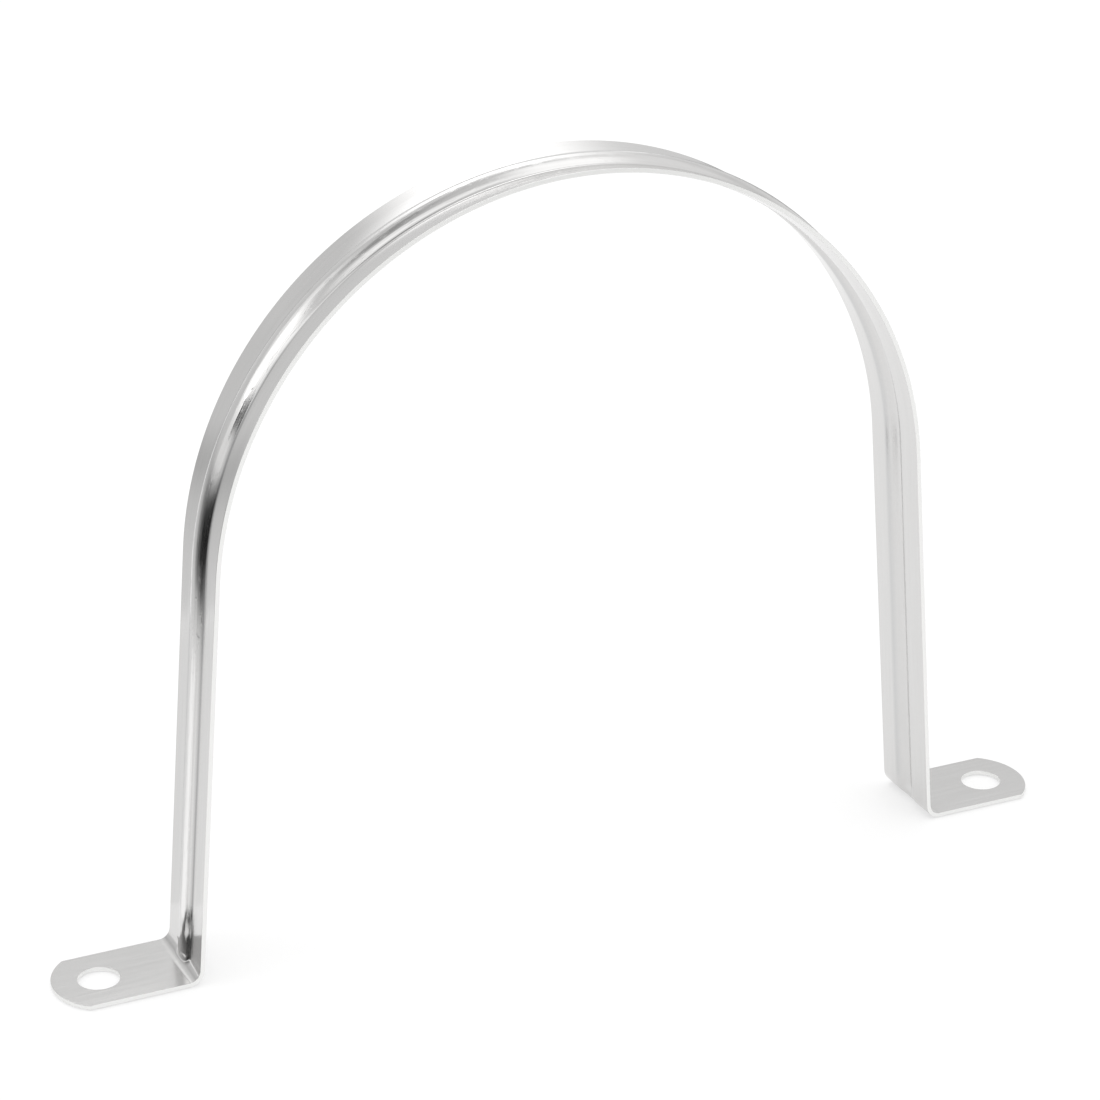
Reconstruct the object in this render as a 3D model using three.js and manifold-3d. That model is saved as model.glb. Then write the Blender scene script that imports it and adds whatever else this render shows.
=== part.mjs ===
// One-piece pipe strap pressed from stainless sheet: a round arch with a stiffening bead, two straight
// legs and two flat feet with a screw hole each. Millimetres, +Z up. X runs from foot to foot, Y along
// the pipe that the strap holds, and the feet stand on Z = 0 with the origin midway between them.
import * as THREE from 'three';
import { mergeVertices } from 'three/addons/utils/BufferGeometryUtils.js';
import Module from 'manifold-3d';

const wasm = await Module();
wasm.setup();

// Driving dimensions, in millimetres.
const PIPE_DIAMETER = 160;
const INNER_HEIGHT = 165; // from the mounting plane to the inside of the crown
const STRAP_WIDTH = 20;
const SHEET_THICKNESS = 1;
const OVERALL_LENGTH = 234; // from foot tip to foot tip
const HOLE_SPACING = 214;
const HOLE_DIAMETER = 9;
const FOOT_END_RADIUS = 12.5;
const BEND_INSIDE_RADIUS = 2.8;
const LEG_SPLAY = THREE.MathUtils.degToRad(4.5); // how far each leg leans out of the vertical

// The bead stands proud of the outer face, and the sheet on both sides of it lifts towards its edges.
const BEAD_WIDTH = 8;
const BEAD_HEIGHT = 1.5;
const BEAD_CREST_RADIUS = 4.2;
const PLAIN_BEND_SHARE = 0.3; // of each foot bend, next to the foot; the bead runs out over the rest
const LEG_EDGE_LIFT = 0.2;
const CROWN_EDGE_LIFT = 1; // grows from the leg's along each half of the arch

// How finely each stretch is divided.
const PLAIN_BEND_STEPS = 3;
const FADING_BEND_STEPS = 7;
const HALF_ARCH_STEPS = 28;
const FILLET_STEPS = 2;
const CREST_STEPS = 6;
const ROUND_SEGMENTS = 48;

const STAINLESS = { color: '#c8c8c6', roughness: 0.28, metalness: 1 };

// The middle layer of the sheet, seen from the side, is made of straight lines and arcs.
const HALF_SHEET = SHEET_THICKNESS / 2;
const BEND_TURN = Math.PI / 2 - LEG_SPLAY;
const BEND_RADIUS = BEND_INSIDE_RADIUS + HALF_SHEET;
const ARCH_RADIUS = PIPE_DIAMETER / 2 + HALF_SHEET;
const CURVED_RISE = (BEND_RADIUS + ARCH_RADIUS) * (1 - Math.sin(LEG_SPLAY));
const LEG_LENGTH = (INNER_HEIGHT - CURVED_RISE) / Math.cos(LEG_SPLAY);
const LEG_RUN = LEG_LENGTH * Math.sin(LEG_SPLAY);
const FOOT_LENGTH = OVERALL_LENGTH / 2 - (ARCH_RADIUS + BEND_RADIUS) * Math.cos(LEG_SPLAY) - LEG_RUN;

// The bead's cross-section is a crest arc that meets the flats through a fillet arc on each side.
const BEAD_HALF = BEAD_WIDTH / 2;
const BEAD_ANGLE = 2 * Math.atan(BEAD_HEIGHT / BEAD_HALF);
const BEAD_FILLET_RADIUS = BEAD_HALF / Math.sin(BEAD_ANGLE) - BEAD_CREST_RADIUS;

// Height and slope of the full bead at a distance y from the strap's centre line.
function beadAt(y) {
  const distance = Math.abs(y);
  const side = Math.sign(y);
  if (distance >= BEAD_HALF) {
    return { height: 0, slope: 0 };
  }
  if (distance > BEAD_CREST_RADIUS * Math.sin(BEAD_ANGLE)) {
    const reach = BEAD_HALF - distance;
    const drop = Math.sqrt(BEAD_FILLET_RADIUS ** 2 - reach ** 2);
    return { height: BEAD_FILLET_RADIUS - drop, slope: (-side * reach) / drop };
  }
  const drop = Math.sqrt(BEAD_CREST_RADIUS ** 2 - distance ** 2);
  return { height: BEAD_HEIGHT - BEAD_CREST_RADIUS + drop, slope: (-side * distance) / drop };
}

// Height and slope of a unit edge lift: nothing across the bead, then a straight rise to each edge.
function edgeLiftAt(y) {
  const reach = STRAP_WIDTH / 2 - BEAD_HALF;
  const height = Math.max(0, Math.abs(y) - BEAD_HALF) / reach;
  return { height, slope: height > 0 ? Math.sign(y) / reach : 0 };
}

// Distances from the centre line at which the section is sampled, from one edge to the other.
function sectionDistances() {
  const half = [STRAP_WIDTH / 2];
  for (let step = 0; step < FILLET_STEPS; step += 1) {
    half.push(BEAD_HALF - BEAD_FILLET_RADIUS * Math.sin((BEAD_ANGLE * step) / FILLET_STEPS));
  }
  for (let step = 0; step < CREST_STEPS / 2; step += 1) {
    half.push(BEAD_CREST_RADIUS * Math.sin(BEAD_ANGLE * (1 - (2 * step) / CREST_STEPS)));
  }
  const mirrored = half.map((y) => -y);
  return [...mirrored, 0, ...half.reverse()];
}

function bendPart(share, steps) {
  return { length: share * BEND_RADIUS * BEND_TURN, turn: share * BEND_TURN, steps };
}

// The stretches of one half of the strap, from a foot's tip to the crown of the arch. Each has its
// length, the angle it turns through, and the bead and edge lift at its two ends.
function halfStretches() {
  const plain = { turn: 0, steps: 1, bead: [0, 0], lift: [0, 0] };
  const plainBend = bendPart(PLAIN_BEND_SHARE, PLAIN_BEND_STEPS);
  const fadingBend = bendPart(1 - PLAIN_BEND_SHARE, FADING_BEND_STEPS);
  const halfArch = { length: ARCH_RADIUS * BEND_TURN, turn: -BEND_TURN, steps: HALF_ARCH_STEPS, bead: [1, 1] };
  return [
    { ...plain, length: FOOT_LENGTH },
    { ...plain, ...plainBend },
    { ...fadingBend, bead: [0, 1], lift: [0, LEG_EDGE_LIFT] },
    { ...plain, length: LEG_LENGTH, bead: [1, 1], lift: [LEG_EDGE_LIFT, LEG_EDGE_LIFT] },
    { ...halfArch, lift: [LEG_EDGE_LIFT, CROWN_EDGE_LIFT] },
  ];
}

function reversed(stretch) {
  return { ...stretch, bead: [...stretch.bead].reverse(), lift: [...stretch.lift].reverse() };
}

// Walks along the stretches and notes position, heading, bead and lift at every step.
function stationsAlong(stretches) {
  let x = -OVERALL_LENGTH / 2;
  let z = HALF_SHEET;
  let heading = 0;
  const first = stretches[0];
  const stations = [{ x, z, heading, bead: first.bead[0], lift: first.lift[0] }];
  for (const { length, turn, steps, bead, lift } of stretches) {
    const stepTurn = turn / steps;
    const chord = turn === 0 ? length / steps : ((2 * length) / turn) * Math.sin(stepTurn / 2);
    for (let step = 1; step <= steps; step += 1) {
      const middle = heading + stepTurn / 2;
      x += chord * Math.cos(middle);
      z += chord * Math.sin(middle);
      heading += stepTurn;
      const share = THREE.MathUtils.smoothstep(step / steps, 0, 1);
      stations.push({
        x,
        z,
        heading,
        bead: THREE.MathUtils.lerp(bead[0], bead[1], share),
        lift: THREE.MathUtils.lerp(lift[0], lift[1], share),
      });
    }
  }
  return stations;
}

// A flat blank of sheet, divided into steps along and across, and pressed into the strap's shape.
function pressedStrip() {
  const half = halfStretches();
  const stations = stationsAlong([...half, ...half.map(reversed).reverse()]);
  const distances = sectionDistances();
  const along = stations.length - 1;
  const across = distances.length - 1;
  const blank = new THREE.BoxGeometry(1, 1, 1, along, across, 1);
  const points = blank.attributes.position;
  const point = new THREE.Vector3();
  for (let index = 0; index < points.count; index += 1) {
    point.fromBufferAttribute(points, index);
    const station = stations[Math.round((point.x + 0.5) * along)];
    const y = distances[Math.round((point.y + 0.5) * across)];
    const bead = beadAt(y);
    const edge = edgeLiftAt(y);
    const slope = station.bead * bead.slope + station.lift * edge.slope;
    const offset = (Math.sign(point.z) * HALF_SHEET) / Math.hypot(1, slope);
    const height = station.bead * bead.height + station.lift * edge.height + offset;
    points.setXYZ(
      index,
      station.x - height * Math.sin(station.heading),
      y - slope * offset,
      station.z + height * Math.cos(station.heading),
    );
  }
  return blank;
}

// Plan outline that rounds off the feet: the strap keeps what lies inside it.
function footOutline() {
  const centre = OVERALL_LENGTH / 2 - FOOT_END_RADIUS;
  const outline = new THREE.Shape();
  outline.absarc(centre, 0, FOOT_END_RADIUS, -Math.PI / 2, Math.PI / 2);
  outline.absarc(-centre, 0, FOOT_END_RADIUS, Math.PI / 2, (3 * Math.PI) / 2);
  const depth = INNER_HEIGHT + 4 * BEAD_HEIGHT;
  const geometry = new THREE.ExtrudeGeometry(outline, {
    depth,
    bevelEnabled: false,
    curveSegments: ROUND_SEGMENTS / 2,
  });
  return geometry.translate(0, 0, -BEAD_HEIGHT);
}

function screwHole(x) {
  const radius = HOLE_DIAMETER / 2;
  const hole = new THREE.CylinderGeometry(radius, radius, 6 * SHEET_THICKNESS, ROUND_SEGMENTS);
  return hole.rotateX(Math.PI / 2).translate(x, 0, HALF_SHEET);
}

function solidOf(geometry) {
  geometry.deleteAttribute('normal');
  geometry.deleteAttribute('uv');
  const merged = mergeVertices(geometry);
  const vertProperties = new Float32Array(merged.attributes.position.array);
  const triVerts = new Uint32Array(merged.index.array);
  return new wasm.Manifold(new wasm.Mesh({ numProp: 3, vertProperties, triVerts }));
}

function geometryOf(solid) {
  const { vertProperties, triVerts } = solid.getMesh();
  const geometry = new THREE.BufferGeometry();
  geometry.setAttribute('position', new THREE.BufferAttribute(vertProperties, 3));
  geometry.setIndex(new THREE.BufferAttribute(triVerts, 1));
  geometry.computeVertexNormals();
  return geometry;
}

function strapMesh() {
  let solid = solidOf(pressedStrip()).intersect(solidOf(footOutline()));
  for (const side of [-1, 1]) {
    solid = solid.subtract(solidOf(screwHole((side * HOLE_SPACING) / 2)));
  }
  const mesh = new THREE.Mesh(geometryOf(solid), new THREE.MeshStandardMaterial(STAINLESS));
  mesh.name = 'pipe_strap';
  return mesh;
}

const part = new THREE.Group();
part.name = 'two_hole_pipe_strap';
part.add(strapMesh());

export default part;
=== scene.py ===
"""Looks of the pipe strap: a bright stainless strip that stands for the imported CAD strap.

The strip is laid out flat as a blank, pressed into shape point by point, and shown on a pale table among
soft panels and screens that only its metal reflects. Lengths are in metres. The studio's azimuths run from
+Y towards +X and its elevations up from the horizon, both in degrees.
"""
import math

import bmesh
import bpy
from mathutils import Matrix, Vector


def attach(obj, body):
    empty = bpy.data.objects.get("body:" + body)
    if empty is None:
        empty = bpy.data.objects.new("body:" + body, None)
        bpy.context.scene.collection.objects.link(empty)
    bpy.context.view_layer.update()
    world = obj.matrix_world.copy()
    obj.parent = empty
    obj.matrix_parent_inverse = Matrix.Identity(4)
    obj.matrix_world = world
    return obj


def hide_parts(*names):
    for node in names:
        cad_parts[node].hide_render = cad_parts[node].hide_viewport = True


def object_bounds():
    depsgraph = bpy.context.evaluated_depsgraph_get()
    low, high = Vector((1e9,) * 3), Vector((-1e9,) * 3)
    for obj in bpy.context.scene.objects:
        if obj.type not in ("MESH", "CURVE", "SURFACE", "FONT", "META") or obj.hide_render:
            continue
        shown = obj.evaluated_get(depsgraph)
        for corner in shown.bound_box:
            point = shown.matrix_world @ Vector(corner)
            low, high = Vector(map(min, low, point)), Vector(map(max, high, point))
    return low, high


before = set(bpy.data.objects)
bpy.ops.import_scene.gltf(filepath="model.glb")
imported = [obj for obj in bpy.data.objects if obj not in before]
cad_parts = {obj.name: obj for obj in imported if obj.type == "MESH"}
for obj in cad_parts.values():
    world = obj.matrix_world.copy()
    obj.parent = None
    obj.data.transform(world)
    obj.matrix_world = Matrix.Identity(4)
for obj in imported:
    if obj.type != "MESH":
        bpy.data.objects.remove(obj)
CAD_LOW, CAD_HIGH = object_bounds()

MM = 0.001

# The strap's driving dimensions, as in the CAD source.
ARCH_INNER_RADIUS = 80 * MM
INNER_HEIGHT = 165 * MM  # from the mounting plane to the inside of the crown
STRAP_WIDTH = 20 * MM
SHEET_THICKNESS = 1 * MM
HOLE_SPACING = 214 * MM
HOLE_DIAMETER = 9 * MM
FOOT_END_RADIUS = 12.5 * MM
BEND_INSIDE_RADIUS = 2.8 * MM
LEG_SPLAY = math.radians(4.5)  # how far each leg leans out of the vertical
BEAD_WIDTH = 8 * MM
BEAD_HEIGHT = 1.5 * MM
BEAD_CREST_RADIUS = 4.2 * MM
PLAIN_BEND_SHARE = 0.3  # of each foot bend, next to the foot; the bead runs out over the rest
LEG_EDGE_LIFT = 0.2 * MM
CROWN_EDGE_LIFT = 1 * MM  # grows from the leg's along each half of the arch
OVERALL_LENGTH = CAD_HIGH.x - CAD_LOW.x

# How finely the visible mesh is divided, and how its edges are rounded.
BEND_STEP = 0.2 * MM
ARCH_STEP = 1.2 * MM
STRAIGHT_STEP = 4 * MM
SHORTEST_STEP = 0.5 * MM
EDGE_INSETS = (0, 0.3 * MM, 1.5 * MM, 3 * MM)  # lines along the strip, in from each edge
FILLET_STEPS = 5
CREST_STEPS = 9
FOOT_SIDE_STEPS = 12
FOOT_TIP_STEPS = 40
FOOT_RING_SHARES = (0, 0.12, 0.3, 0.5, 0.75)  # of the way from a hole's rim to the foot's outline
HOLE_MARGIN = 8 * MM  # from a hole's centre back to where the plain strip begins
EDGE_ROUND = 0.12 * MM
EDGE_ROUND_STEPS = 2
SHARP_EDGE_ANGLE = math.radians(40)  # edges that turn more than this are rounded

# The middle layer of the sheet, seen from the side, is made of straight lines and arcs.
HALF_SHEET = SHEET_THICKNESS / 2
BEND_TURN = math.pi / 2 - LEG_SPLAY
BEND_RADIUS = BEND_INSIDE_RADIUS + HALF_SHEET
ARCH_RADIUS = ARCH_INNER_RADIUS + HALF_SHEET
CURVED_RISE = (BEND_RADIUS + ARCH_RADIUS) * (1 - math.sin(LEG_SPLAY))
LEG_LENGTH = (INNER_HEIGHT - CURVED_RISE) / math.cos(LEG_SPLAY)
LEG_RUN = LEG_LENGTH * math.sin(LEG_SPLAY)
FOOT_LENGTH = OVERALL_LENGTH / 2 - (ARCH_RADIUS + BEND_RADIUS) * math.cos(LEG_SPLAY) - LEG_RUN

# The bead's cross-section is a crest arc that meets the flats through a fillet arc on each side.
BEAD_HALF = BEAD_WIDTH / 2
BEAD_ANGLE = 2 * math.atan(BEAD_HEIGHT / BEAD_HALF)
BEAD_FILLET_RADIUS = BEAD_HALF / math.sin(BEAD_ANGLE) - BEAD_CREST_RADIUS

# The part of each foot round its hole, in distances from the foot's tip.
HOLE_AT = (OVERALL_LENGTH - HOLE_SPACING) / 2
STRIP_START = HOLE_AT + HOLE_MARGIN
SIDE_END = FOOT_END_RADIUS - math.sqrt(FOOT_END_RADIUS ** 2 - (STRAP_WIDTH / 2) ** 2)


def smooth(share):
    """A share held between 0 and 1, and eased at both ends."""
    share = min(max(share, 0.0), 1.0)
    return share * share * (3 - 2 * share)


def mix(low, high, share):
    return low + (high - low) * share


def grey(level):
    return (level, level, level, 1)


# ---- The pressed shape: where a point of the flat blank goes ----

def stretches():
    """Length, turn, bead at both ends and edge lift at both ends of each stretch, from tip to tip."""
    plain_turn = PLAIN_BEND_SHARE * BEND_TURN
    fading_turn = BEND_TURN - plain_turn
    half = [
        (FOOT_LENGTH, 0, (0, 0), (0, 0)),
        (BEND_RADIUS * plain_turn, plain_turn, (0, 0), (0, 0)),
        (BEND_RADIUS * fading_turn, fading_turn, (0, 1), (0, LEG_EDGE_LIFT)),
        (LEG_LENGTH, 0, (1, 1), (LEG_EDGE_LIFT, LEG_EDGE_LIFT)),
        (ARCH_RADIUS * BEND_TURN, -BEND_TURN, (1, 1), (LEG_EDGE_LIFT, CROWN_EDGE_LIFT)),
    ]
    other_half = [(length, turn, bead[::-1], lift[::-1]) for length, turn, bead, lift in reversed(half)]
    return half + other_half


def advance(x, z, heading, length, turn, share=1.0):
    """Place and heading of the middle layer after a share of a stretch."""
    chord = length * share if turn == 0 else 2 * length / turn * math.sin(turn * share / 2)
    middle = heading + turn * share / 2
    return x + chord * math.cos(middle), z + chord * math.sin(middle), heading + turn * share


def walk():
    """Each stretch with the distance, place and heading at which it starts, and the blank's length."""
    distance, x, z, heading = 0.0, -OVERALL_LENGTH / 2, HALF_SHEET, 0.0
    path = []
    for length, turn, bead, lift in stretches():
        path.append((distance, length, turn, bead, lift, x, z, heading))
        x, z, heading = advance(x, z, heading, length, turn)
        distance += length
    return path, distance


PATH, BLANK_LENGTH = walk()


def station(distance):
    """Place and heading of the middle layer, with the bead and edge lift there."""
    for start, length, turn, bead, lift, x, z, heading in PATH:
        if distance <= start + length:
            break
    share = (distance - start) / length
    x, z, heading = advance(x, z, heading, length, turn, share)
    return x, z, heading, mix(*bead, smooth(share)), mix(*lift, smooth(share))


def bead_height(y):
    """Height of the full bead at a distance y from the strap's centre line."""
    reach = abs(y)
    if reach >= BEAD_HALF:
        return 0.0
    if reach > BEAD_CREST_RADIUS * math.sin(BEAD_ANGLE):
        return BEAD_FILLET_RADIUS - math.sqrt(BEAD_FILLET_RADIUS ** 2 - (BEAD_HALF - reach) ** 2)
    return BEAD_HEIGHT - BEAD_CREST_RADIUS + math.sqrt(BEAD_CREST_RADIUS ** 2 - reach ** 2)


def edge_share(y):
    """Share of the edge lift at y: none across the bead, then a straight rise to each edge."""
    return max(0.0, abs(y) - BEAD_HALF) / (STRAP_WIDTH / 2 - BEAD_HALF)


def pressed(distance, y):
    """Where the blank's point at that distance from the left tip, and y across, ends up."""
    x, z, heading, bead, lift = station(distance)
    height = bead * bead_height(y) + lift * edge_share(y)
    return Vector((x - height * math.sin(heading), y, z + height * math.cos(heading)))


# ---- The mesh: the blank's middle layer, divided flat and then pressed ----

def across_positions():
    """Distances from the centre line, from one edge to the other, closest where the section bends."""
    half = [STRAP_WIDTH / 2 - inset for inset in EDGE_INSETS]
    for k in range(FILLET_STEPS):
        half.append(BEAD_HALF - BEAD_FILLET_RADIUS * math.sin(BEAD_ANGLE * k / FILLET_STEPS))
    for k in range(CREST_STEPS):
        half.append(BEAD_CREST_RADIUS * math.sin(BEAD_ANGLE * (1 - k / CREST_STEPS)))
    return [-y for y in half] + [0.0] + half[::-1]


def step_for(turn):
    if turn > 0:
        return BEND_STEP
    if turn < 0:
        return ARCH_STEP
    return STRAIGHT_STEP


def along_positions():
    """Distances from the left tip, from behind one foot's hole to behind the other's."""
    first, last = STRIP_START, BLANK_LENGTH - STRIP_START
    positions = [first]
    for start, length, turn, *_ in PATH:
        count = max(1, round(length / step_for(turn)))
        for k in range(1, count + 1):
            distance = start + length * k / count
            if first + SHORTEST_STEP < distance < last - SHORTEST_STEP:
                positions.append(distance)
    return positions + [last]


def foot_outline(across):
    """Flat outline of the part of a foot round its hole, as (distance from the tip, y), closed."""
    edge = STRAP_WIDTH / 2
    tip_angle = math.asin(edge / FOOT_END_RADIUS)
    outline = [(STRIP_START, y) for y in across]
    for k in range(1, FOOT_SIDE_STEPS + 1):
        outline.append((mix(STRIP_START, SIDE_END, k / FOOT_SIDE_STEPS), edge))
    for k in range(1, FOOT_TIP_STEPS + 1):
        angle = mix(tip_angle, -tip_angle, k / FOOT_TIP_STEPS)
        outline.append((FOOT_END_RADIUS * (1 - math.cos(angle)), FOOT_END_RADIUS * math.sin(angle)))
    for k in range(1, FOOT_SIDE_STEPS):
        outline.append((mix(SIDE_END, STRIP_START, k / FOOT_SIDE_STEPS), -edge))
    return outline


def add_foot(mesh, point, across, strip_end, mirrored):
    """Rings of faces from the rim of a foot's hole out to the foot's outline and the strip's end."""
    outline = foot_outline(across)

    def place(distance, y):
        return point(BLANK_LENGTH - distance if mirrored else distance, y)

    rings = []
    for share in FOOT_RING_SHARES:
        ring = []
        for distance, y in outline:
            angle = math.atan2(y, distance - HOLE_AT)
            rim_distance = HOLE_AT + HOLE_DIAMETER / 2 * math.cos(angle)
            rim_y = HOLE_DIAMETER / 2 * math.sin(angle)
            ring.append(place(mix(rim_distance, distance, share), mix(rim_y, y, share)))
        rings.append(ring)
    rings.append(strip_end + [place(distance, y) for distance, y in outline[len(across):]])
    for inner, outer in zip(rings, rings[1:]):
        for k in range(len(outline)):
            following = (k + 1) % len(outline)
            corners = [inner[k], outer[k], outer[following], inner[following]]
            mesh.faces.new(corners[::-1] if mirrored else corners)


def pressed_sheet():
    """The middle layer's mesh, in which each vertex also keeps its place on the flat blank."""
    mesh = bmesh.new()
    blank = mesh.verts.layers.float_vector.new("blank")
    across = across_positions()

    def point(distance, y):
        vert = mesh.verts.new(pressed(distance, y))
        vert[blank] = (distance, y, 0)
        return vert

    grid = [[point(distance, y) for y in across] for distance in along_positions()]
    for row, next_row in zip(grid, grid[1:]):
        for k in range(len(across) - 1):
            mesh.faces.new((row[k], next_row[k], next_row[k + 1], row[k + 1]))
    add_foot(mesh, point, across, grid[0], False)
    add_foot(mesh, point, across, grid[-1], True)
    bmesh.ops.recalc_face_normals(mesh, faces=mesh.faces)
    data = bpy.data.meshes.new("strap_sheet")
    mesh.to_mesh(data)
    mesh.free()
    data.shade_smooth()
    return data


def strap_sheet():
    """The strap as one sheet, thickened and with its edges rounded by modifiers."""
    strap = bpy.data.objects.new("strap_sheet", pressed_sheet())
    bpy.context.scene.collection.objects.link(strap)
    # The outside's colour gets darker painted shade along the bead's roots than the inside's.
    outside = rolled_stainless("stainless_outside", root_painted_shade=0.3)
    edge = sheared_edge()
    inside = rolled_stainless("stainless_inside", root_painted_shade=0.6)
    slots = [outside, edge, inside]
    for material in slots:
        strap.data.materials.append(material)

    thickness = strap.modifiers.new("thickness", "SOLIDIFY")
    thickness.thickness = SHEET_THICKNESS
    thickness.offset = 0
    thickness.use_even_offset = True
    thickness.material_offset_rim = slots.index(edge)
    thickness.material_offset = slots.index(inside)
    rounding = strap.modifiers.new("rounded_edges", "BEVEL")
    rounding.width = EDGE_ROUND
    rounding.segments = EDGE_ROUND_STEPS
    rounding.limit_method = "ANGLE"
    rounding.angle_limit = SHARP_EDGE_ANGLE
    rounding.harden_normals = True
    return strap


# ---- Materials ----

STEEL_TONES = ((0.64, 0.635, 0.63, 1), (0.69, 0.685, 0.68, 1))
STEEL_ROUGHNESS = (0.10, 0.2)
EDGE_TONE = (0.86, 0.86, 0.85, 1)
EDGE_ROUGHNESS = (0.35, 0.5)
WHITE = grey(1)
BLACK = grey(0)
TABLE_TONE = grey(0.5)
TABLE_ROUGHNESS = 0.9
TABLE_EMISSION = 0.5

NOISE_MIDDLE = (0.3, 0.7)  # the range that most of a noise's values fall in
SCUFF_RANGE = (0.56, 0.75)  # only a noise's peaks are scuffs

# Where painted shade darkens the creases along the bead's roots, and where the press's draw marks lie on
# the bead. Distances along the strip are measured from the crown.
ROOT_SHADE_CENTRE = 3.4 * MM
ROOT_SHADE_REACH = 0.9 * MM
# Painted root shade: none within the first distance of the crown, full strength from the second on.
UNSHADED_CROWN = 55 * MM
FULL_ROOT_SHADE = 75 * MM
LEG_END = BLANK_LENGTH / 2 - FOOT_LENGTH - BEND_RADIUS * BEND_TURN
LEG_END_FADE = 3 * MM
FULL_DRESSING = 2 * MM  # on each side of the bead's crest; the marks fade out towards the bead's edges

# How deep the bumps are.
WAVE_DEPTH = 0.02 * MM
LINE_DEPTH = 0.0008 * MM
DRAW_MARK_DEPTH = 0.06 * MM
SCUFF_DEPTH = 0.02 * MM
SHEAR_MARK_DEPTH = 0.006 * MM


class Finish:
    """A material of one Principled shader, with textures laid out on the flat blank."""

    def __init__(self, name):
        self.material = bpy.data.materials.new(name)
        self.material.use_nodes = True
        self.nodes = self.material.node_tree.nodes
        self.links = self.material.node_tree.links
        self.nodes.clear()
        self.shader = self.nodes.new("ShaderNodeBsdfPrincipled")
        self.add("ShaderNodeOutputMaterial", {"Surface": self.shader.outputs["BSDF"]})

    def feed(self, socket, value):
        """Links a node's output to a socket, or sets the socket to a plain value."""
        if isinstance(value, bpy.types.NodeSocket):
            self.links.new(value, socket)
        else:
            socket.default_value = value

    def add(self, kind, inputs, **settings):
        node = self.nodes.new(kind)
        for setting, value in settings.items():
            setattr(node, setting, value)
        for socket, value in inputs.items():
            self.feed(node.inputs[socket], value)
        return node

    def set(self, socket, value):
        self.feed(self.shader.inputs[socket], value)

    def calculate(self, operation, *values):
        inputs = dict(enumerate(values))
        return self.add("ShaderNodeMath", inputs, operation=operation).outputs["Value"]

    def product(self, first, second):
        return self.calculate("MULTIPLY", first, second)

    def noise(self, along, across, detail=2.0):
        """Noise of that many cells per millimetre along and across the strip, following its bends."""
        place = self.add("ShaderNodeAttribute", {}, attribute_name="blank").outputs["Vector"]
        scale = (along / MM, across / MM, 1)
        scaled = self.add("ShaderNodeVectorMath", {0: place, 1: scale}, operation="MULTIPLY")
        inputs = {"Vector": scaled.outputs["Vector"], "Scale": 1, "Detail": detail}
        return self.add("ShaderNodeTexNoise", inputs).outputs["Fac"]

    def mapped(self, value, from_range, to_range):
        inputs = {"Value": value}
        inputs["From Min"], inputs["From Max"] = from_range
        inputs["To Min"], inputs["To Max"] = to_range
        return self.add("ShaderNodeMapRange", inputs).outputs["Result"]

    def fade(self, away, none_at, full_at):
        """A mask that is 0 at one distance and 1 at another, and steady beyond both."""
        return self.mapped(away, (none_at, full_at), (0, 1))

    def away_from(self, axis, centre):
        """Distance from a line across the blank (axis X), or from the two lines along it (axis Y)."""
        place = self.add("ShaderNodeAttribute", {}, attribute_name="blank").outputs["Vector"]
        along_axis = self.add("ShaderNodeSeparateXYZ", {0: place}).outputs[axis]
        if axis == "Y":
            along_axis = self.calculate("ABSOLUTE", along_axis)
        return self.calculate("ABSOLUTE", self.calculate("SUBTRACT", along_axis, centre))

    def blended(self, first, second, share):
        inputs = {"A": first, "B": second, "Factor": share}
        return self.add("ShaderNodeMix", inputs, data_type="RGBA").outputs["Result"]

    def bumped(self, height, depth, below=None):
        """Bumps of that depth, on top of the bumps below them."""
        node = self.add("ShaderNodeBump", {"Height": height, "Strength": 1, "Distance": depth})
        if below is not None:
            self.feed(node.inputs["Normal"], below)
        return node.outputs["Normal"]


def rolled_stainless(name, root_painted_shade):
    """Bright rolled sheet with fine lines along the strip, and painted shade in the creases along the
    bead's roots.
    """
    steel = Finish(name)
    steel.set("Metallic", 1)

    from_crown = steel.away_from("X", BLANK_LENGTH / 2)
    off_crown = steel.fade(from_crown, none_at=UNSHADED_CROWN, full_at=FULL_ROOT_SHADE)
    off_feet = steel.fade(from_crown, none_at=LEG_END, full_at=LEG_END - LEG_END_FADE)
    # Painted shade: the colour darkens towards a grey in a thin line along each of the bead's roots, where
    # those creases would be in shadow. It is left off the crown and the feet.
    at_roots = steel.fade(steel.away_from("Y", ROOT_SHADE_CENTRE), none_at=ROOT_SHADE_REACH, full_at=0)
    crease_shade_mask = steel.product(at_roots, steel.product(off_crown, off_feet))
    tone = steel.blended(*STEEL_TONES, steel.noise(along=0.05, across=1.2))
    steel.set("Base Color", steel.blended(tone, grey(root_painted_shade), crease_shade_mask))

    haze = steel.noise(along=0.04, across=2.5, detail=4)
    steel.set("Roughness", steel.mapped(haze, NOISE_MIDDLE, STEEL_ROUGHNESS))

    on_crest = steel.fade(steel.away_from("Y", 0), none_at=BEAD_HALF, full_at=FULL_DRESSING)
    on_bead = steel.product(on_crest, off_feet)
    draw_marks = steel.product(on_bead, steel.noise(along=0.015, across=1.3))
    scuffs = steel.mapped(steel.noise(along=0.35, across=1.6, detail=4), SCUFF_RANGE, (0, 1))
    surface = steel.bumped(steel.noise(along=0.03, across=0.08, detail=1), WAVE_DEPTH)
    surface = steel.bumped(steel.noise(along=0.01, across=3), LINE_DEPTH, surface)
    surface = steel.bumped(draw_marks, DRAW_MARK_DEPTH, surface)
    surface = steel.bumped(steel.product(scuffs, on_bead), SCUFF_DEPTH, surface)
    steel.set("Normal", surface)
    return steel.material


def sheared_edge():
    """The cut edge of the sheet: duller, with marks across its thickness."""
    edge = Finish("sheared_edge")
    edge.set("Metallic", 1)
    edge.set("Base Color", EDGE_TONE)
    marks = edge.noise(along=4, across=0.6, detail=3)
    edge.set("Roughness", edge.mapped(marks, NOISE_MIDDLE, EDGE_ROUGHNESS))
    edge.set("Normal", edge.bumped(marks, SHEAR_MARK_DEPTH))
    return edge.material


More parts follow.
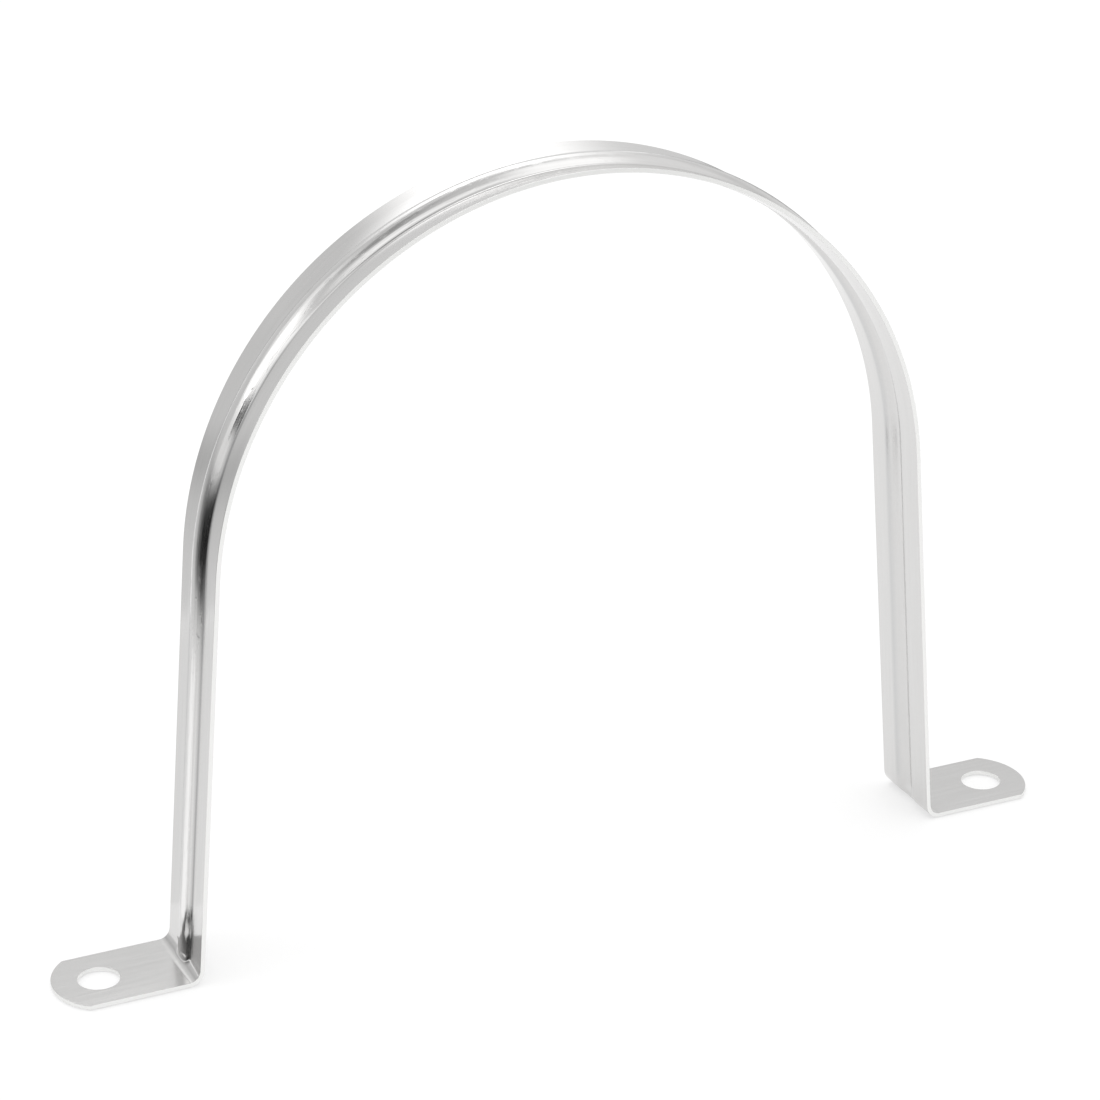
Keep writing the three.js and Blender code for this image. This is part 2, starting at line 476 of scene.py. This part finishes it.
def studio_floor():
    """A pale table that also glows a little, as if lit from below, so that shadows stay faint."""
    table = Finish("studio_floor")
    table.set("Base Color", TABLE_TONE)
    table.set("Roughness", TABLE_ROUGHNESS)
    table.set("Specular IOR Level", 0)
    table.set("Emission Color", WHITE)
    table.set("Emission Strength", TABLE_EMISSION)
    return table.material


def studio_reflector():
    """A surface that shows the brightness given at each of its points."""
    reflector = Finish("studio_reflector")
    reflector.set("Base Color", BLACK)
    reflector.set("Specular IOR Level", 0)
    reflector.set("Emission Color", WHITE)
    level = reflector.add("ShaderNodeAttribute", {}, attribute_name="level").outputs["Fac"]
    reflector.set("Emission Strength", level)
    reflector.material.cycles.emission_sampling = "NONE"
    return reflector.material


# ---- The studio ----

SET_CENTRE = Vector((-20 * MM, 0, 110 * MM))
LEFT_LEG = Vector((-80 * MM, 0, 0))
FLOOR_REACH = 8.0
FLOOR_DROP = 0.2 * MM  # below the feet, so that the two surfaces don't share a plane
WORLD_LEVEL = 0.95
BACKGROUND_LEVEL = 1.1

CAMERA_TARGET = Vector((-2.9 * MM, 0, 80.3 * MM))
CAMERA_AZIMUTH = 180 + 24.4  # in front of the strap, towards its left foot
CAMERA_ELEVATION = 24.4
CAMERA_DISTANCE = 0.764
CAMERA_LENS = 118
CAMERA_SENSOR = 36

# Area lights: name, azimuth, elevation, width, height and radiance.
SOFT_LIGHT_DISTANCE = 1.2
SOFT_LIGHTS = [
    ("back_light", 12, 60, 0.9, 0.7, 0.9),
    ("left_light", -80, 35, 0.7, 0.5, 0.9),
    ("front_light", 170, 55, 0.9, 0.7, 0.6),
]

# Soft panels of the dome: azimuth, elevation, half width, half height, softness of both and brightness.
DOME_RADIUS = 2.0
DOME_STEP = 1
DOME_LOWEST = -2
DOME_LEVEL = 0.76
DOME_PANELS = [
    (45, 10, 35, 12, 16, 16, 0.92),  # pale wall behind on the right
    (60, 45, 25, 14, 14, 14, 1.0),  # and above it
    (-48, 36, 10, 12, 12, 12, 1.15),  # spill beside the left softbox
    (-84, 8, 24, 9, 8, 8, 1.0),  # white card below the left softbox
    (-82, 31, 21, 13, 8, 10, 1.8),  # left softbox
    (-50, 66, 13, 9, 12, 12, 0.4),  # open ceiling between the softboxes
    (13, 36, 15, 14, 24, 9, 2.0),  # softbox behind
    (82, 67, 16, 12, 14, 14, 1.5),  # ceiling panel on the right
    (180, 58, 34, 25, 20, 20, 1.4),  # wide ceiling panel in front
    (-97, 17.5, 8, 4, 2, 2, 0.02),  # dark gap under the left softbox
]

# A screen bent round the left leg: the height of each row, and its brightness at the screen's dark end
# and at its grey end. Then the azimuth of each upright line, and its share of the grey end's brightness.
LOW_SCREEN_RADIUS = 0.2
LOW_SCREEN_ROWS = [
    (0, 0.95, 0.82),
    (12 * MM, 0.85, 0.8),
    (20 * MM, 0.03, 0.78),
    (55 * MM, 0.02, 0.72),
    (86 * MM, 0.03, 0.57),
    (97 * MM, 0.05, 0.6),
    (122 * MM, 0.78, 0.76),
]
LOW_SCREEN_LINES = [
    (-112, 0), (-80, 0), (-66, 0.2), (-54, 0.42), (-44, 0.75), (-32, 1), (-20, 1), (-10, 1),
]

# A card that lies on the table beside the left leg: azimuth and brightness, alike near the leg and far out.
TABLE_GLOW_REACH = (0.03, 0.19)
TABLE_GLOW_HEIGHT = 0.5 * MM
TABLE_GLOW_LINES = [
    (-90, 0.95), (-68, 1.35), (-52, 1.3), (-38, 0.95), (-28, 0.94), (-18, 0.92), (-13, 0.7), (12, 0.7),
]

# Two flat upright screens behind the strap: the X of each upright line, and its brightness at each height.
BACK_CARD_Y = 0.45
BACK_CARD_HEIGHTS = (0.1, 0.24, 0.335)
BACK_CARD_LINES = [
    (-0.3, 0.78, 0.78, 0.78),
    (-0.05, 0.8, 0.8, 0.82),
    (0.11, 0.74, 0.76, 0.88),
    (0.15, 0.84, 0.84, 0.88),
    (0.25, 0.9, 0.9, 0.9),
    (0.28, 1.25, 1.25, 0.95),
    (0.3, 0.95, 0.95, 0.9),
    (0.315, 0.8, 0.8, 0.85),
    (0.6, 0.8, 0.8, 0.85),
]
RIGHT_FLAG_Y = 0.1
RIGHT_FLAG_HEIGHTS = (0.112, 0.162)
RIGHT_FLAG_LINES = [(0.05, 0.74, 0.74), (0.08, 0.45, 0.55), (0.15, 0.45, 0.55)]


def towards(azimuth, elevation):
    azimuth, elevation = math.radians(azimuth), math.radians(elevation)
    return Vector((
        math.sin(azimuth) * math.cos(elevation),
        math.cos(azimuth) * math.cos(elevation),
        math.sin(elevation),
    ))


def around(centre, radius, azimuth):
    """The plan position, x and y, at an azimuth round a centre."""
    place = centre + towards(azimuth, 0) * radius
    return place.x, place.y


def aim(thing, target):
    thing.rotation_mode = "QUATERNION"
    thing.rotation_quaternion = (target - thing.location).to_track_quat("-Z", "Y")


def stage_mesh(name, vertices, faces, surface):
    data = bpy.data.meshes.new(name)
    data.from_pydata(vertices, [], faces)
    data.materials.append(surface)
    thing = bpy.data.objects.new(name, data)
    bpy.context.scene.collection.objects.link(thing)
    return thing


def reflected_grid(name, rows, surface, closed=False):
    """A surface that only the metal reflects, from rows of points, each with its brightness."""
    count = len(rows[0])
    vertices = [place for row in rows for place, level in row]
    levels = [level for row in rows for place, level in row]
    faces = []
    for low in range(0, count * (len(rows) - 1), count):
        high = low + count
        for k in range(count if closed else count - 1):
            following = (k + 1) % count
            faces.append((low + k, low + following, high + following, high + k))
    thing = stage_mesh(name, vertices, faces, surface)
    thing.data.attributes.new("level", "FLOAT", "POINT").data.foreach_set("value", levels)
    thing.visible_camera = False
    thing.visible_diffuse = False
    thing.visible_shadow = False


def floor():
    signs = [(-1, -1), (1, -1), (1, 1), (-1, 1)]
    corners = [(x * FLOOR_REACH, y * FLOOR_REACH, -FLOOR_DROP) for x, y in signs]
    stage_mesh("floor", corners, [(0, 1, 2, 3)], studio_floor())


def panel_share(direction, azimuth, elevation, half_width, half_height, side_softness, end_softness):
    """How much of a soft panel is seen in a direction: 1 well inside it, 0 outside."""
    ahead = direction.dot(towards(azimuth, elevation))
    if ahead <= 0:
        return 0.0
    across = math.degrees(math.atan2(abs(direction.dot(towards(azimuth + 90, 0))), ahead))
    upright = math.degrees(math.atan2(abs(direction.dot(towards(azimuth, elevation + 90))), ahead))
    across_share = 0.5 - (across - half_width) / side_softness
    upright_share = 0.5 - (upright - half_height) / end_softness
    return smooth(across_share) * smooth(upright_share)


def dome_level(direction):
    level = DOME_LEVEL
    for *shape, brightness in DOME_PANELS:
        level = mix(level, brightness, panel_share(direction, *shape))
    return level


def dome(surface):
    rows = []
    for elevation in range(DOME_LOWEST, 90 + DOME_STEP, DOME_STEP):
        directions = [towards(azimuth, elevation) for azimuth in range(0, 360, DOME_STEP)]
        rows.append([(SET_CENTRE + ahead * DOME_RADIUS, dome_level(ahead)) for ahead in directions])
    reflected_grid("dome", rows, surface, closed=True)


def low_screen(surface):
    rows = []
    for height, dark, grey in LOW_SCREEN_ROWS:
        row = []
        for azimuth, share in LOW_SCREEN_LINES:
            place = (*around(LEFT_LEG, LOW_SCREEN_RADIUS, azimuth), height)
            row.append((place, mix(dark, grey, share)))
        rows.append(row)
    reflected_grid("low_screen", rows, surface)


def table_glow(surface):
    rows = []
    for reach in TABLE_GLOW_REACH:
        row = []
        for azimuth, level in TABLE_GLOW_LINES:
            row.append(((*around(LEFT_LEG, reach, azimuth), TABLE_GLOW_HEIGHT), level))
        rows.append(row)
    reflected_grid("table_glow", rows, surface)


def flat_screen(name, y, heights, lines, surface):
    rows = [[((x, y, z), levels[k]) for x, *levels in lines] for k, z in enumerate(heights)]
    reflected_grid(name, rows, surface)


def soft_light(name, azimuth, elevation, width, height, radiance):
    """A soft area light for the table and the strap's dull surfaces, left out of mirror reflections."""
    light = bpy.data.lights.new(name, "AREA")
    light.shape = "RECTANGLE"
    light.size = width
    light.size_y = height
    light.energy = radiance * math.pi * width * height
    box = bpy.data.objects.new(name, light)
    box.location = SET_CENTRE + towards(azimuth, elevation) * SOFT_LIGHT_DISTANCE
    box.visible_camera = False
    box.visible_glossy = False
    bpy.context.scene.collection.objects.link(box)
    aim(box, SET_CENTRE)


def world_light():
    """Even light all round, which the camera sees as a brighter background."""
    world = bpy.data.worlds.new("studio")
    world.use_nodes = True
    nodes, links = world.node_tree.nodes, world.node_tree.links
    path = nodes.new("ShaderNodeLightPath")
    level = nodes.new("ShaderNodeMapRange")
    level.inputs["To Min"].default_value = WORLD_LEVEL
    level.inputs["To Max"].default_value = BACKGROUND_LEVEL
    links.new(path.outputs["Is Camera Ray"], level.inputs["Value"])
    links.new(level.outputs["Result"], nodes["Background"].inputs["Strength"])
    nodes["Background"].inputs["Color"].default_value = WHITE
    bpy.context.scene.world = world


def camera():
    data = bpy.data.cameras.new("camera")
    data.lens = CAMERA_LENS
    data.sensor_width = CAMERA_SENSOR
    view = bpy.data.objects.new("camera", data)
    view.location = CAMERA_TARGET + towards(CAMERA_AZIMUTH, CAMERA_ELEVATION) * CAMERA_DISTANCE
    bpy.context.scene.collection.objects.link(view)
    aim(view, CAMERA_TARGET)
    bpy.context.scene.camera = view


def studio():
    floor()
    world_light()
    for light in SOFT_LIGHTS:
        soft_light(*light)
    surface = studio_reflector()
    dome(surface)
    low_screen(surface)
    table_glow(surface)
    flat_screen("back_card", BACK_CARD_Y, BACK_CARD_HEIGHTS, BACK_CARD_LINES, surface)
    flat_screen("right_flag", RIGHT_FLAG_Y, RIGHT_FLAG_HEIGHTS, RIGHT_FLAG_LINES, surface)
    camera()
    bpy.context.scene.view_settings.view_transform = "Standard"


studio()
strap = strap_sheet()
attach(strap, "root")
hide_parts("pipe_strap")
